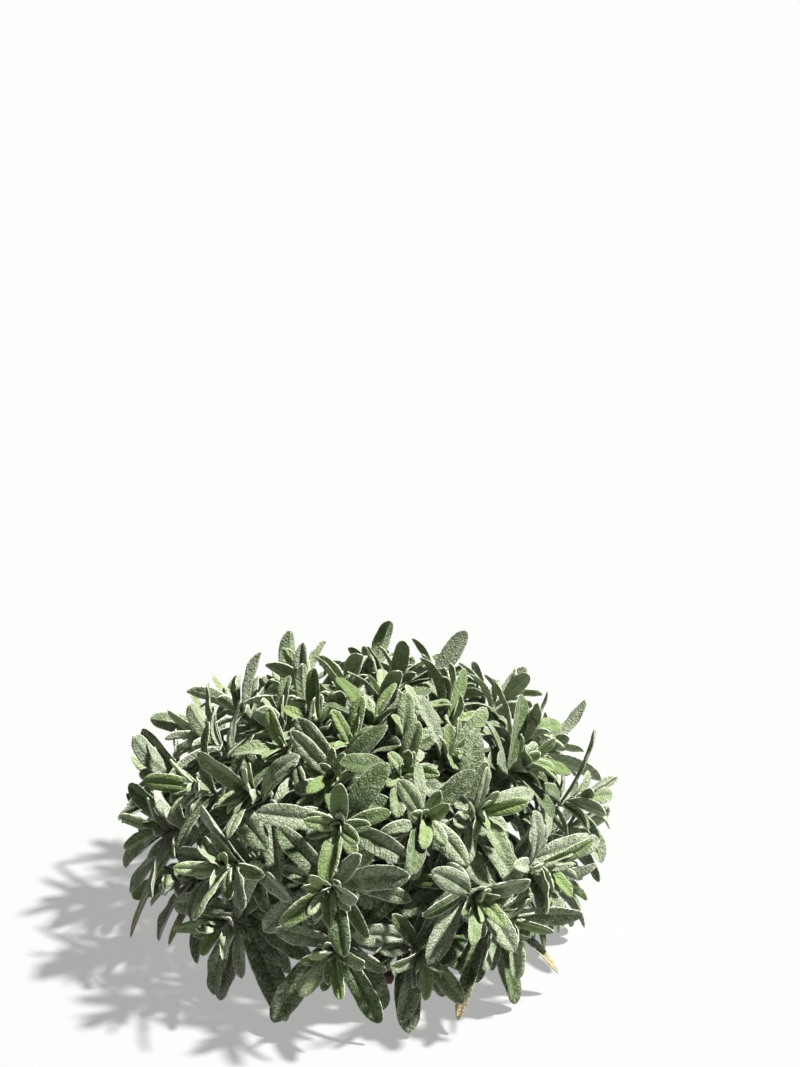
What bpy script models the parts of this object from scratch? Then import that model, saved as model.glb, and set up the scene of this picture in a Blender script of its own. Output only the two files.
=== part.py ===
"""Lambs ear plant: a mound of woolly leafy stems on a low crown of creeping stems.

The plant is cut at soil level and rests on the flat underside of its crown. The origin is the
crown's centre on that underside, +Z is up and the seen side faces -Y. Every leafy stem is one
solid: a square stem with pairs of opposite leaves, each pair a quarter turn from the last.
"""

import math
import random

import bmesh
import bpy
from mathutils import Matrix, Vector
from mathutils.bvhtree import BVHTree

SEED = 11

# The mound that the stem tips fill, in metres
MOUND_CENTRE_HEIGHT = 0.110
MOUND_HALF_WIDTH = 0.186
MOUND_HALF_HEIGHT = 0.079
MOUND_SQUARENESS = 2.7

# Rings of leafy stems from the top down: count, angle from straight up, turn in degrees, leaf pairs
TIP_RINGS = (
    (1, 3.0, 20.0, 4),
    (6, 27.0, 10.0, 3),
    (10, 47.0, 0.0, 4),
    (13, 67.0, 7.0, 4),
    (12, 84.0, -7.0, 4),
    (13, 102.0, 7.0, 5),
)
TIP_ANGLE_SCATTER = 5.0
TIP_TURN_SCATTER = 5.0

# Crown of creeping stems
CREEPER_COUNT = 13
CREEPER_REACH = 0.118
CREEPER_RADIUS = 0.0055
CREEPER_AXIS_HEIGHT = 0.0045
CREEPER_SWAY = 0.0035
CREEPER_WAVES = 55.0
CREEPER_PHASE = 2.1
CREEPER_SIDES = 6
CREEPER_START = 0.0245
KNOT_RADIUS = 0.033
KNOT_HEIGHT = 0.0118
KNOT_LIFT = 0.0007
SEAT_GAP = 0.0003

# Leafy stems
STEM_RADIUS = 0.0026
STEM_POINTS = 4
STEM_FOOT_LEAN = 0.25
STEM_FOOT_PULL = 0.38
STEM_TIP_PULL = 0.42
STEM_AXIS_SHARE = 0.96
LOWEST_STEM_AXIS = 98.0
LENGTH_STEPS = 24
LAST_BASE_RADIUS = 0.110

# Leaf pairs from the tip back: distance from the tip, length, width, angle from the stem in degrees
LEAF_PAIRS = (
    (0.001, 0.044, 0.0140, 14.0),
    (0.006, 0.060, 0.0185, 29.0),
    (0.014, 0.073, 0.0220, 44.0),
    (0.027, 0.084, 0.0250, 60.0),
    (0.043, 0.092, 0.0270, 78.0),
)

# Long low leaves that stand out of the outline: tip, reach, arch, width and fold
STRAY_LEAVES = (
    ((-0.222, -0.020, 0.109), 0.078, 0.004, 0.0240, 0.10),
    ((-0.211, -0.065, 0.016), 0.108, 0.036, 0.0170, 0.50),
    ((-0.178, -0.062, 0.006), 0.082, 0.040, 0.0160, 0.45),
    ((-0.206, -0.020, 0.073), 0.084, 0.006, 0.0150, 0.55),
    ((-0.203, -0.042, 0.044), 0.082, 0.024, 0.0170, 0.45),
    ((0.226, 0.020, 0.126), 0.074, 0.010, 0.0220, 0.10),
    ((-0.070, -0.178, 0.006), 0.090, 0.020, 0.0280, 0.12),
    ((0.072, -0.190, 0.014), 0.090, 0.018, 0.0150, 0.50),
    ((0.160, -0.132, 0.020), 0.090, 0.022, 0.0140, 0.50),
)
STRAY_ROOTS = (0.15, 0.25, 0.35, 0.45, 0.55)
STRAY_OUTWARD_LEAN = 0.35

# Blade form: the half width follows t * (1 - t) ** BLADE_POWER along the leaf, with its peak made 1
LEAF_THICKNESS = 0.0020
BLADE_POWER = 0.60
BLADE_PEAK = 0.353
PETIOLE_SHARE = 0.20
TIP_BLUNTNESS = 12.0
STATIONS = (0.0, 0.20, 0.58, 0.88, 1.0)
YOUNG_STATIONS = (0.0, 0.30, 0.80, 1.0)
YOUNG_PAIRS = 2
DROOP_OF_UNDERSIDE = 0.9
DROOP_PER_PAIR = 0.12

# Ranges that each leaf draws from: turn and lean either way in degrees, size, then radians and fold
SPIN_SCATTER = 10.0
LEAN_SCATTER = 8.0
SIZE_RANGE = (0.84, 1.12)
BEND_RANGE = (0.15, 0.85)
TWIST_RANGE = (-0.35, 0.35)
FOLD_RANGE = (0.06, 0.29)

# Room kept between a leaf and what it grows beside
CLEARANCE = 0.0008
GROUND_CLEARANCE = 0.0015
CROWN_CLEARANCE = 0.016
BLADE_FROM = 0.24

# Ways to move a leaf off its neighbours, mildest first: share of its size, then turns and leans
# in degrees
WAYS = (
    (1.0, (0.0,), (0.0,)),
    (1.0, (0.0, -12.0, 12.0), (-10.0, 10.0, -20.0)),
    (0.9, (0.0, -20.0, 20.0, -34.0, 34.0), (0.0, -16.0, 14.0, -30.0)),
    (0.75, (0.0, -14.0, 14.0, -28.0, 28.0, 42.0, -42.0), (0.0, -20.0, 12.0, -34.0)),
    (0.6, (0.0, -20.0, 20.0, 40.0, -40.0), (0.0, -24.0, -38.0)),
)

UP = Vector((0.0, 0.0, 1.0))
WOOL_GREEN = (0.42, 0.50, 0.33, 1.0)
CROWN_BROWN = (0.30, 0.24, 0.16, 1.0)


def clear_scene():
    for obj in list(bpy.data.objects):
        bpy.data.objects.remove(obj, do_unlink=True)


def new_collection(name):
    collection = bpy.data.collections.new(name)
    bpy.context.scene.collection.children.link(collection)
    return collection


def plain_material(name, colour, roughness):
    material = bpy.data.materials.new(name)
    material.use_nodes = True
    shader = material.node_tree.nodes["Principled BSDF"]
    shader.inputs["Base Color"].default_value = colour
    shader.inputs["Roughness"].default_value = roughness
    shader.inputs["Metallic"].default_value = 0.0
    material.diffuse_color = colour
    return material


def direction_of(polar, turn):
    """Unit vector at an angle from straight up, turned about Z from +X, both in degrees."""
    p = math.radians(polar)
    a = math.radians(turn)
    return Vector((math.sin(p) * math.cos(a), math.sin(p) * math.sin(a), math.cos(p)))


def mound_point(polar, turn):
    """Where a ray from the mound's centre meets the rounded, slightly square mound of stem tips."""
    ray = direction_of(polar, turn)
    across = math.hypot(ray.x, ray.y) / MOUND_HALF_WIDTH
    up = abs(ray.z) / MOUND_HALF_HEIGHT
    reach = (across**MOUND_SQUARENESS + up**MOUND_SQUARENESS) ** (-1.0 / MOUND_SQUARENESS)
    return Vector((0.0, 0.0, MOUND_CENTRE_HEIGHT)) + ray * reach


def creeper_points(index):
    """The axis of one creeping stem, which sways a little from side to side."""
    turn = 2.0 * math.pi * index / CREEPER_COUNT
    points = []
    for radius in (CREEPER_START, (CREEPER_START + CREEPER_REACH) * 0.5, CREEPER_REACH):
        sway = CREEPER_SWAY * math.sin(radius * CREEPER_WAVES + index * CREEPER_PHASE)
        x = radius * math.cos(turn) - sway * math.sin(turn)
        y = radius * math.sin(turn) + sway * math.cos(turn)
        points.append(Vector((x, y, CREEPER_AXIS_HEIGHT)))
    return points


def foot_place(index, radius):
    """Where a stem stands: on the flat top of a creeping stem, or on top of the knot near the centre."""
    if radius < CREEPER_START:
        return Vector((radius, 0.0, KNOT_LIFT + KNOT_HEIGHT))
    first, middle, last = creeper_points(index)
    run = (CREEPER_REACH - CREEPER_START) * 0.5
    along = (radius - CREEPER_START) / run
    place = first.lerp(middle, along) if along < 1.0 else middle.lerp(last, along - 1.0)
    place.z = CREEPER_AXIS_HEIGHT + CREEPER_RADIUS * math.cos(math.pi / CREEPER_SIDES)
    return place


def bezier(points, t):
    s = 1.0 - t
    if len(points) == 3:
        return points[0] * s * s + points[1] * 2.0 * s * t + points[2] * t * t
    a, b, c, d = points
    return a * s**3 + b * 3.0 * s * s * t + c * 3.0 * s * t * t + d * t**3


class Stem:
    """One leafy stem: its base on a creeping stem, its tip on the mound, and a curve between."""

    def __init__(self, base, tip, axis, pairs):
        self.axis = axis
        self.pairs = pairs
        reach = (tip - base).length
        self.curve = (
            base,
            base + (UP + axis * STEM_FOOT_LEAN).normalized() * reach * STEM_FOOT_PULL,
            tip - axis * reach * STEM_TIP_PULL,
            tip,
        )
        steps = [bezier(self.curve, i / LENGTH_STEPS) for i in range(LENGTH_STEPS + 1)]
        self.length = sum((high - low).length for low, high in zip(steps, steps[1:]))

    def at(self, back):
        """The point on the stem's straight runs, and its direction, at a distance back from the tip."""
        t = max(0.0, 1.0 - back / self.length)
        ahead = bezier(self.curve, min(1.0, t + 0.01))
        behind = bezier(self.curve, max(0.0, t - 0.01))
        place = t * (STEM_POINTS - 1)
        run = min(int(place), STEM_POINTS - 2)
        low, high = self.points()[run : run + 2]
        return low.lerp(high, place - run), (ahead - behind).normalized()

    def points(self):
        return [bezier(self.curve, i / (STEM_POINTS - 1)) for i in range(STEM_POINTS)]


class Leaf:
    """A blade on a bent midrib. Its normal is the upper face's, which looks to the stem's tip."""

    def __init__(self, curve, normal, width, twist, fold, stations=STATIONS):
        self.stations = stations
        self.curve = curve
        self.width = width
        self.twist = twist
        self.fold = fold
        self.side = (curve[1] - curve[0]).cross(normal).normalized()

    def frame(self, t):
        """Midrib point, side and upper normal at a share of the leaf's length."""
        a, b, c = self.curve
        tangent = ((b - a) * (1.0 - t) + (c - b) * t).normalized()
        side = (self.side - tangent * self.side.dot(tangent)).normalized()
        normal = side.cross(tangent)
        turn = self.twist * t
        across = side * math.cos(turn) + normal * math.sin(turn)
        return bezier(self.curve, t), across, across.cross(tangent)

    def half_width(self, t):
        """A blunt oblong blade, widest past its middle, that narrows into its stalk."""
        blade = t * (1.0 - t) ** BLADE_POWER / BLADE_PEAK
        share = PETIOLE_SHARE + (1.0 - PETIOLE_SHARE) * blade
        return 0.5 * self.width * share * min(1.0, (1.0 - t) * TIP_BLUNTNESS)

    def surface(self, t, across, height):
        """A point at a share of the length, of the half width and of the half thickness."""
        middle, side, normal = self.frame(t)
        half = self.half_width(t)
        lift = self.fold * half * abs(across) + 0.5 * LEAF_THICKNESS * height
        return middle + side * (half * across) + normal * lift


def leaf_mesh(leaf, grow=0.0, start=0.0):
    """A four sided sphere drawn out into the blade, with grow more width and thickness all round."""
    bm = bmesh.new()
    rings = len(leaf.stations) - 1
    bmesh.ops.create_uvsphere(bm, u_segments=4, v_segments=rings, radius=1.0)
    place = {}
    for vertex in bm.verts:
        ring = round(math.acos(max(-1.0, min(1.0, vertex.co.z))) / math.pi * rings)
        spread = max(1e-9, math.sin(math.pi * ring / rings))
        place[vertex] = (ring, round(vertex.co.x / spread), round(vertex.co.y / spread))
        if ring in (0, rings):
            place[vertex] = (ring, 0, 0)
    for face in [f for f in bm.faces if len(f.verts) == 4]:
        low = min(place[v][0] for v in face.verts)
        ridge = next(v for v in face.verts if place[v][1] == 0 and place[v][0] == low)
        edge = next(v for v in face.verts if place[v][1] != 0 and place[v][0] > low)
        bmesh.utils.face_split(face, ridge, edge)
    for vertex, (ring, across, height) in place.items():
        t = start + (1.0 - start) * leaf.stations[ring]
        wider = 1.0 + grow / max(leaf.half_width(t), 0.002)
        thicker = 1.0 + 2.0 * grow / LEAF_THICKNESS
        vertex.co = leaf.surface(t, across * wider, height * thicker)
    bmesh.ops.recalc_face_normals(bm, faces=bm.faces)
    return bm


def solid_shape(bm):
    """What the room tests need: a tree of the mesh, its centre and its reach."""
    tree = BVHTree.FromBMesh(bm)
    points = [v.co.copy() for v in bm.verts]
    centre = sum(points, Vector()) / len(points)
    reach = max((p - centre).length for p in points)
    lowest = min(p.z for p in points)
    near_crown = min((p.z for p in points if math.hypot(p.x, p.y) < CREEPER_REACH), default=1.0)
    bm.free()
    return tree, centre, reach, lowest, near_crown


def shapes_cross(one, other):
    if (one[1] - other[1]).length > one[2] + other[2]:
        return False
    return bool(one[0].overlap(other[0]))


def stem_shape(stem):
    """A plain four sided tube round the stem's points, with the clearance added."""
    bm = bmesh.new()
    points = stem.points()
    rings = []
    for i, point in enumerate(points):
        ahead = points[min(i + 1, len(points) - 1)]
        behind = points[max(i - 1, 0)]
        turn = (ahead - behind).to_track_quat("Z", "Y")
        radius = STEM_RADIUS + 1.2 * CLEARANCE
        corners = ((radius, 0.0), (0.0, radius), (-radius, 0.0), (0.0, -radius))
        rings.append([bm.verts.new(point + turn @ Vector((x, y, 0.0))) for x, y in corners])
    for low, high in zip(rings, rings[1:]):
        for k in range(4):
            bm.faces.new((low[k], low[(k + 1) % 4], high[(k + 1) % 4], high[k]))
    bm.normal_update()
    return solid_shape(bm)


def plan_stems(rng):
    """All the leafy stems, ring by ring, each standing on the creeping stem nearest its turn."""
    stems = []
    last_polar = TIP_RINGS[-1][1]
    for count, polar, turn, pairs in TIP_RINGS:
        base_radius = LAST_BASE_RADIUS * polar / last_polar
        for k in range(count):
            nominal = 360.0 * k / count
            creeper = round(nominal / 360.0 * CREEPER_COUNT) % CREEPER_COUNT
            tip_turn = nominal + turn + rng.uniform(-TIP_TURN_SCATTER, TIP_TURN_SCATTER)
            tip_polar = polar + rng.uniform(-TIP_ANGLE_SCATTER, TIP_ANGLE_SCATTER)
            if count == 1:
                tip_polar = polar
            tip = mound_point(tip_polar, tip_turn)
            axis = direction_of(min(tip_polar, LOWEST_STEM_AXIS) * STEM_AXIS_SHARE, tip_turn)
            foot = foot_place(creeper, base_radius) + UP * SEAT_GAP
            lean = (Stem(foot, tip, axis, pairs).points()[1] - foot).normalized()
            foot += UP * STEM_RADIUS * math.hypot(lean.x, lean.y)
            stems.append(Stem(foot, tip, axis, pairs))
    return stems


def plan_leaf(stem, pair, spin, lean, size, form):
    """The leaf of one pair at a turn about its stem, with its lean and size changed as asked."""
    back, length, width, angle = LEAF_PAIRS[pair]
    root, axis = stem.at(back)
    sideways = axis.cross(UP)
    if sideways.length < 0.05:
        sideways = Vector((1.0, 0.0, 0.0))
    sideways.normalize()
    outward = Matrix.Rotation(spin, 3, axis) @ sideways
    tilt = math.radians(angle + lean)
    start = axis * math.cos(tilt) + outward * math.sin(tilt)
    normal = (axis * math.sin(tilt) - outward * math.cos(tilt)).normalized()
    droop = max(0.0, -outward.z) * DROOP_OF_UNDERSIDE + DROOP_PER_PAIR * pair
    bend, twist, fold = form
    end = start * math.cos(bend) - normal * math.sin(bend) + Vector((0.0, 0.0, -droop))
    middle = root + start * length * size * 0.5
    tip = middle + end.normalized() * length * size * 0.5
    stations = YOUNG_STATIONS if pair < YOUNG_PAIRS else STATIONS
    return Leaf((root, middle, tip), normal, width * (0.5 + 0.5 * size), twist, fold, stations)


def plan_stray(stems, tip, reach, arch, width, fold):
    """A long low leaf that ends at a stated tip: it springs from the nearest stem within its reach."""
    choices = []
    for number, stem in enumerate(stems):
        for back in STRAY_ROOTS:
            root = stem.at(back * stem.length)[0]
            choices.append((abs((root - tip).length - reach), number, root))
    _, number, root = min(choices, key=lambda choice: choice[0])
    middle = (root + tip) * 0.5 + UP * arch
    normal = UP + Vector((tip.x, tip.y, 0.0)).normalized() * STRAY_OUTWARD_LEAN
    return number, Leaf((root, middle, tip), normal, width, 0.0, fold)


class Room:
    """The shapes already placed, which every new leaf must clear."""

    def __init__(self, stems):
        self.stem_shapes = [stem_shape(stem) for stem in stems]
        self.leaf_shapes = []
        self.leaves = [[] for _ in stems]

    def take(self, number, leaf):
        """Adds the leaf to its stem where there is room for it, and says whether there was."""
        whole = solid_shape(leaf_mesh(leaf, CLEARANCE))
        if whole[3] < GROUND_CLEARANCE or whole[4] < CROWN_CLEARANCE:
            return False
        if any(k != number and shapes_cross(whole, shape) for k, shape in enumerate(self.stem_shapes)):
            return False
        if any(k != number and shapes_cross(whole, shape) for k, shape, _ in self.leaf_shapes):
            return False
        blade = solid_shape(leaf_mesh(leaf, CLEARANCE * 0.5, BLADE_FROM))
        if any(k == number and shapes_cross(blade, sister) for k, _, sister in self.leaf_shapes):
            return False
        self.leaf_shapes.append((number, whole, blade))
        self.leaves[number].append(leaf)
        return True


def plan_leaves(stems, rng):
    """Leaves for every stem, youngest pairs first, each moved until it is clear of the rest."""
    room = Room(stems)
    phases = [rng.uniform(0.0, math.pi) for _ in stems]
    for tip, reach, arch, width, fold in STRAY_LEAVES:
        room.take(*plan_stray(stems, Vector(tip), reach, arch, width, fold))
    for pair in range(len(LEAF_PAIRS)):
        for number, stem in enumerate(stems):
            if pair >= stem.pairs:
                continue
            for half in (0, 1):
                spin = phases[number] + pair * math.pi / 2 + half * math.pi
                spin += math.radians(rng.uniform(-SPIN_SCATTER, SPIN_SCATTER))
                size = rng.uniform(*SIZE_RANGE)
                lean = rng.uniform(-LEAN_SCATTER, LEAN_SCATTER)
                form = (rng.uniform(*BEND_RANGE), rng.uniform(*TWIST_RANGE), rng.uniform(*FOLD_RANGE))
                for size_share, turns, leans in WAYS:
                    ways = [(math.radians(turn), way_lean) for turn in turns for way_lean in leans]
                    tries = (
                        plan_leaf(stem, pair, spin + turn, lean + way_lean, size * size_share, form)
                        for turn, way_lean in ways
                    )
                    if any(room.take(number, leaf) for leaf in tries):
                        break
    return room.leaves


def object_from(bm, name, collection):
    mesh = bpy.data.meshes.new(name)
    bm.to_mesh(mesh)
    bm.free()
    obj = bpy.data.objects.new(name, mesh)
    collection.objects.link(obj)
    return obj


def tube(name, points, radius, collection, sides=4):
    """A curve swept into a closed tube, then made a mesh with its caps welded on."""
    curve = bpy.data.curves.new(name, "CURVE")
    curve.dimensions = "3D"
    curve.bevel_depth = radius
    curve.bevel_resolution = (sides - 4) // 2
    curve.use_fill_caps = True
    spline = curve.splines.new("POLY")
    spline.points.add(len(points) - 1)
    for point, place in zip(spline.points, points):
        point.co = (*place, 1.0)
    swept = bpy.data.objects.new(name, curve)
    collection.objects.link(swept)
    graph = bpy.context.evaluated_depsgraph_get()
    mesh = bpy.data.meshes.new_from_object(swept.evaluated_get(graph))
    bpy.data.objects.remove(swept, do_unlink=True)
    bm = bmesh.new()
    bm.from_mesh(mesh)
    bmesh.ops.remove_doubles(bm, verts=bm.verts, dist=1e-6)
    bmesh.ops.recalc_face_normals(bm, faces=bm.faces)
    bpy.data.meshes.remove(mesh)
    return object_from(bm, name, collection)


def joined(body, pieces):
    """One Boolean union of a body with every object of a collection, applied."""
    union = body.modifiers.new("union", "BOOLEAN")
    union.operation = "UNION"
    union.operand_type = "COLLECTION"
    union.collection = pieces
    union.solver = "EXACT"
    graph = bpy.context.evaluated_depsgraph_get()
    mesh = bpy.data.meshes.new_from_object(body.evaluated_get(graph))
    body.modifiers.clear()
    body.data = mesh
    for piece in list(pieces.objects):
        bpy.data.objects.remove(piece, do_unlink=True)
    bpy.data.collections.remove(pieces)
    return body


def finish_piece(obj, material):
    obj.data.materials.clear()
    obj.data.materials.append(material)
    obj.data.shade_smooth()
    obj.data.set_sharp_from_angle(angle=math.radians(45.0))


def build_crown(plant, material):
    """A flattened knot with creeping stems running out from it, all cut flat at soil level."""
    bm = bmesh.new()
    bmesh.ops.create_icosphere(bm, subdivisions=2, radius=1.0)
    for vertex in bm.verts:
        vertex.co = Vector(
            (vertex.co.x * KNOT_RADIUS, vertex.co.y * KNOT_RADIUS, vertex.co.z * KNOT_HEIGHT + KNOT_LIFT)
        )
    crown = object_from(bm, "crown", plant)
    creepers = new_collection("creepers")
    for index in range(CREEPER_COUNT):
        tube(f"creeper_{index}", creeper_points(index), CREEPER_RADIUS, creepers, CREEPER_SIDES)
    joined(crown, creepers)
    soil_line = new_collection("soil_line")
    bm = bmesh.new()
    bmesh.ops.create_cube(bm, size=1.0)
    for vertex in bm.verts:
        vertex.co = Vector((vertex.co.x * 0.4, vertex.co.y * 0.4, vertex.co.z * 0.1 - 0.05))
    object_from(bm, "below_soil", soil_line)
    cut = crown.modifiers.new("soil", "BOOLEAN")
    cut.operation = "DIFFERENCE"
    cut.operand_type = "COLLECTION"
    cut.collection = soil_line
    cut.solver = "EXACT"
    graph = bpy.context.evaluated_depsgraph_get()
    mesh = bpy.data.meshes.new_from_object(crown.evaluated_get(graph))
    crown.modifiers.clear()
    crown.data = mesh
    for piece in list(soil_line.objects):
        bpy.data.objects.remove(piece, do_unlink=True)
    bpy.data.collections.remove(soil_line)
    finish_piece(crown, material)
    return crown


def build_leafy_stem(number, stem, leaves, plant, material):
    name = f"leafy_stem_{number:02d}"
    body = tube(name, stem.points(), STEM_RADIUS, plant)
    blades = new_collection("blades")
    for count, leaf in enumerate(leaves):
        object_from(leaf_mesh(leaf), f"blade_{count}", blades)
    joined(body, blades)
    finish_piece(body, material)
    return body


def plan_plant():
    rng = random.Random(SEED)
    stems = plan_stems(rng)
    return stems, plan_leaves(stems, rng)


def main():
    clear_scene()
    plant = new_collection("lambs_ear_plant")
    leaf_material = plain_material("woolly_leaf", WOOL_GREEN, 0.85)
    crown_material = plain_material("crown_bark", CROWN_BROWN, 0.9)
    stems, plan = plan_plant()
    build_crown(plant, crown_material)
    for number, (stem, leaves) in enumerate(zip(stems, plan)):
        build_leafy_stem(number, stem, leaves, plant, leaf_material)


main()
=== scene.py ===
"""Lambs ear plant, dressed: felted leaves, woolly square stems and the brown creeping crown."""

import math
import random

import bmesh
import bpy
import numpy as np
from bpy.props import FloatProperty, FloatVectorProperty, IntProperty, PointerProperty
from mathutils import Matrix, Vector, noise
from mathutils.bvhtree import BVHTree


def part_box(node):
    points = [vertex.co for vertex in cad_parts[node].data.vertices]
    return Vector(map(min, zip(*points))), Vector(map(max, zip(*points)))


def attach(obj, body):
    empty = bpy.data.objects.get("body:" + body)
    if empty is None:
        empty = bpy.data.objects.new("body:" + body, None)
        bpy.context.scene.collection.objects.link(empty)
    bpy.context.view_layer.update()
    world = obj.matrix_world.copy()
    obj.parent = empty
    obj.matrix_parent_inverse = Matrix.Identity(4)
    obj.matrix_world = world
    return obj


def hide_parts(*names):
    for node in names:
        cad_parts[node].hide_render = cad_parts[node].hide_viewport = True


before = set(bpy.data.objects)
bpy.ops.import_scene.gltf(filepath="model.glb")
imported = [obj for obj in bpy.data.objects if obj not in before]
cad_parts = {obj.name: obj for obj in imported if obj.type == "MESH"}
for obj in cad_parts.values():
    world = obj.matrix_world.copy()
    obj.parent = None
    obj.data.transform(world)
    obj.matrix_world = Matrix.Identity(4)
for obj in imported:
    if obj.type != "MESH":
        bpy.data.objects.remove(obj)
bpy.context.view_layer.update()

bl_info = {
    "name": "Lambs ear plant",
    "version": (1, 0, 0),
    "blender": (4, 5, 0),
    "location": "View3D > Sidebar > Lambs Ear",
    "description": "Dresses a mound of woolly leafy stems and its crown, and sets them on a pale floor",
    "category": "Object",
}

UP = Vector((0.0, 0.0, 1.0))

# Layout of the plant, the same as the solids follow
SEED = 11
MOUND_CENTRE_HEIGHT = 0.110
MOUND_HALF_WIDTH = 0.186
MOUND_HALF_HEIGHT = 0.079
MOUND_SQUARENESS = 2.7
TIP_RINGS = (
    (1, 3.0, 20.0, 4),
    (6, 27.0, 10.0, 3),
    (10, 47.0, 0.0, 4),
    (13, 67.0, 7.0, 4),
    (12, 84.0, -7.0, 4),
    (13, 102.0, 7.0, 5),
)
TIP_ANGLE_SCATTER = 5.0
TIP_TURN_SCATTER = 5.0
CREEPER_COUNT = 13
CREEPER_REACH = 0.118
CREEPER_RADIUS = 0.0055
CREEPER_AXIS_HEIGHT = 0.0045
CREEPER_SWAY = 0.0035
CREEPER_WAVES = 55.0
CREEPER_PHASE = 2.1
CREEPER_SIDES = 6
CREEPER_START = 0.0245
KNOT_HEIGHT = 0.0118
KNOT_LIFT = 0.0007
SEAT_GAP = 0.0003
STEM_RADIUS = 0.0026
STEM_POINTS = 4
STEM_FOOT_LEAN = 0.25
STEM_FOOT_PULL = 0.38
STEM_TIP_PULL = 0.42
STEM_AXIS_SHARE = 0.96
LOWEST_STEM_AXIS = 98.0
LENGTH_STEPS = 24
DIRECTION_STEP = 0.01
UPRIGHT_LIMIT = 0.05
LAST_BASE_RADIUS = 0.110
LEAF_PAIRS = (
    (0.001, 0.044, 0.0140, 14.0),
    (0.006, 0.060, 0.0185, 29.0),
    (0.014, 0.073, 0.0220, 44.0),
    (0.027, 0.084, 0.0250, 60.0),
    (0.043, 0.092, 0.0270, 78.0),
)
STRAY_LEAVES = (
    ((-0.222, -0.020, 0.109), 0.078, 0.004, 0.0240, 0.10),
    ((-0.211, -0.065, 0.016), 0.108, 0.036, 0.0170, 0.50),
    ((-0.178, -0.062, 0.006), 0.082, 0.040, 0.0160, 0.45),
    ((-0.206, -0.020, 0.073), 0.084, 0.006, 0.0150, 0.55),
    ((-0.203, -0.042, 0.044), 0.082, 0.024, 0.0170, 0.45),
    ((0.226, 0.020, 0.126), 0.074, 0.010, 0.0220, 0.10),
    ((-0.070, -0.178, 0.006), 0.090, 0.020, 0.0280, 0.12),
    ((0.072, -0.190, 0.014), 0.090, 0.018, 0.0150, 0.50),
    ((0.160, -0.132, 0.020), 0.090, 0.022, 0.0140, 0.50),
)
STRAY_ROOTS = (0.15, 0.25, 0.35, 0.45, 0.55)
STRAY_OUTWARD_LEAN = 0.35
LEAF_THICKNESS = 0.0020
BLADE_POWER = 0.60
BLADE_PEAK = 0.353
PETIOLE_SHARE = 0.20
TIP_BLUNTNESS = 12.0
STATIONS = (0.0, 0.20, 0.58, 0.88, 1.0)
YOUNG_STATIONS = (0.0, 0.30, 0.80, 1.0)
YOUNG_PAIRS = 2
DROOP_OF_UNDERSIDE = 0.9
DROOP_PER_PAIR = 0.12
SPIN_SCATTER = 10.0
LEAN_SCATTER = 8.0
SIZE_RANGE = (0.84, 1.12)
BEND_RANGE = (0.15, 0.85)
TWIST_RANGE = (-0.35, 0.35)
FOLD_RANGE = (0.06, 0.29)
FORM_RANGES = (BEND_RANGE, TWIST_RANGE, FOLD_RANGE)
CLEARANCE = 0.0008
STEM_CLEARANCE = 1.2 * CLEARANCE
BLADE_CLEARANCE = 0.5 * CLEARANCE
NARROWEST_HALF_WIDTH = 0.002
GROUND_CLEARANCE = 0.0015
CROWN_CLEARANCE = 0.016
BLADE_FROM = 0.24
WAYS = (
    (1.0, (0.0,), (0.0,)),
    (1.0, (0.0, -12.0, 12.0), (-10.0, 10.0, -20.0)),
    (0.9, (0.0, -20.0, 20.0, -34.0, 34.0), (0.0, -16.0, 14.0, -30.0)),
    (0.75, (0.0, -14.0, 14.0, -28.0, 28.0, 42.0, -42.0), (0.0, -20.0, 12.0, -34.0)),
    (0.6, (0.0, -20.0, 20.0, 40.0, -40.0), (0.0, -24.0, -38.0)),
)

# Small leaves added inside the mound: distance back from the tip, length, width, angle
INNER_PAIRS = (
    (0.003, 0.034, 0.0125, 40.0),
    (0.010, 0.040, 0.0145, 24.0),
    (0.016, 0.054, 0.0150, 60.0),
    (0.022, 0.046, 0.0165, 50.0),
    (0.032, 0.066, 0.0170, 84.0),
    (0.038, 0.050, 0.0175, 62.0),
    (0.058, 0.056, 0.0185, 74.0),
    (0.080, 0.056, 0.0185, 86.0),
    (0.104, 0.054, 0.0180, 96.0),
)
INNER_WAYS = (
    (1.0, (0.0, -28.0, 28.0), (0.0, -15.0)),
    (0.7, (0.0, -35.0, 35.0), (0.0, -25.0, 15.0)),
)
INNER_STEM_SHARE = 0.8
INNER_SPIN_SCATTER = 25.0
INNER_FORM_RANGES = ((0.2, 1.0), (-0.6, 0.6), FOLD_RANGE)
INNER_YOUNGEST = 0.2
INNER_AGE_STEP = 0.10

# Tiny leaves of each bud: distance back, length, width and angle
BUD_PAIRS = (
    (0.0000, 0.013, 0.0056, 12.0),
    (0.0006, 0.022, 0.0086, 22.0),
    (0.0012, 0.030, 0.0110, 32.0),
)
BUD_FORM_RANGES = ((-0.3, 0.3), (-0.2, 0.2), (0.3, 0.5))
BUD_LEAN_SCATTER = 5.0
BUD_SIZE_RANGE = (0.85, 1.2)

# How far the long low leaves have withered: narrow ones wholly, wide ones in part
DRY_LEAF_WIDTH = 0.018
WIDE_LEAF_DRYNESS = 0.3

# The photograph's frame and the view of the plant in it
PHOTO_WIDTH = 800
PHOTO_HEIGHT = 1067
METRES_PER_PIXEL = 0.0009
LENS_MM = 70.0
SENSOR_MM = 36.0
VIEW_DOWN_DEGREES = 29.0
AIM_POINT = Vector((0.0, 0.0, 0.12))
AIM_PIXEL = (365, 796)
VIEW_CLIP_END = 100.0

# Light of the stage
KEY_COLOUR = (1.0, 0.98, 0.94)
SKY_COLOUR = (0.96, 0.96, 0.96, 1.0)
FLOOR_GLOW_COLOUR = (1.0, 1.0, 0.99, 1.0)
HORIZON_SHARPNESS = 0.8

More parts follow.
